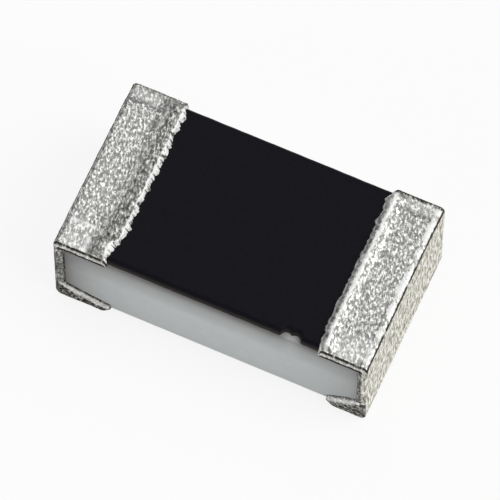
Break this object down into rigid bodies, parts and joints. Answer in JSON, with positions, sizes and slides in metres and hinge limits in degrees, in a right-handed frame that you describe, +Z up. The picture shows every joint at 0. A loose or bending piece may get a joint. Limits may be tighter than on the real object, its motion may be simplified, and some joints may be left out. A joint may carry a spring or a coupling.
{
  "type": "chip resistor",
  "caption": "Surface-mount thick-film chip resistor: alumina block with a trimmed film under a black overcoat and C-shaped tin-plated terminals on both ends.",
  "frame": {"origin": "centre of the chip, which a placing machine uses as its reference point", "axes": "+X along the length to the right terminal, +Y across the width to the back, +Z up, away from the board"},
  "size_m": [0.0016, 0.0008, 0.0006],
  "materials": {
    "alumina": "matte",
    "electrode_silver": "satin",
    "resistor_film": "satin",
    "inner_glass": "gloss",
    "overcoat": "satin",
    "end_paste": "matte",
    "nickel": "satin",
    "matte_tin": "satin"
  },
  "bodies": {
    "root": {"ceramic_substrate": "alumina", "left_top_electrode": "electrode_silver", "right_top_electrode": "electrode_silver", "left_bottom_electrode": "electrode_silver", "right_bottom_electrode": "electrode_silver", "resistive_film": "resistor_film", "glass_coat": "inner_glass", "black_overcoat": "overcoat", "left_end_termination": "end_paste", "right_end_termination": "end_paste", "left_nickel_barrier": "nickel", "right_nickel_barrier": "nickel", "left_tin_plating": "matte_tin", "right_tin_plating": "matte_tin"}
  },
  "joints": []
}
